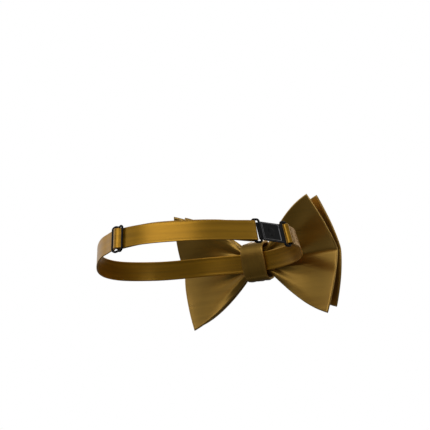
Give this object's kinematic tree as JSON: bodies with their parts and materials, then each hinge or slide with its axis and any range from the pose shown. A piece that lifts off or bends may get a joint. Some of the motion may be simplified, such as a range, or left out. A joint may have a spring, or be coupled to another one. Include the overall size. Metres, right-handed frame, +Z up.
{
  "type": "pre-tied bow tie",
  "caption": "Pre-tied satin bow tie in its worn form: layered gathered bow, centre wrap and adjustable neck band with a wire slider and a hook-and-ring clasp at the nape.",
  "frame": {"origin": "middle of the neck loop, at the band's mid-height", "axes": "+Z up along the neck's axis, -Y towards the bow's face, +X to the wearer's left"},
  "size_m": [0.1339, 0.1493, 0.0764],
  "materials": {
    "bow_satin": "old-gold satin, soft sheen",
    "band_satin": "old-gold satin, soft sheen",
    "black_metal": "gloss black"
  },
  "bodies": {
    "root": {"bow_rear": "bow_satin", "bow_front": "bow_satin", "knot_wrap": "bow_satin", "neck_band": "band_satin", "slider": "black_metal", "clasp_ring": "black_metal", "clasp_hook": "black_metal"}
  },
  "joints": []
}
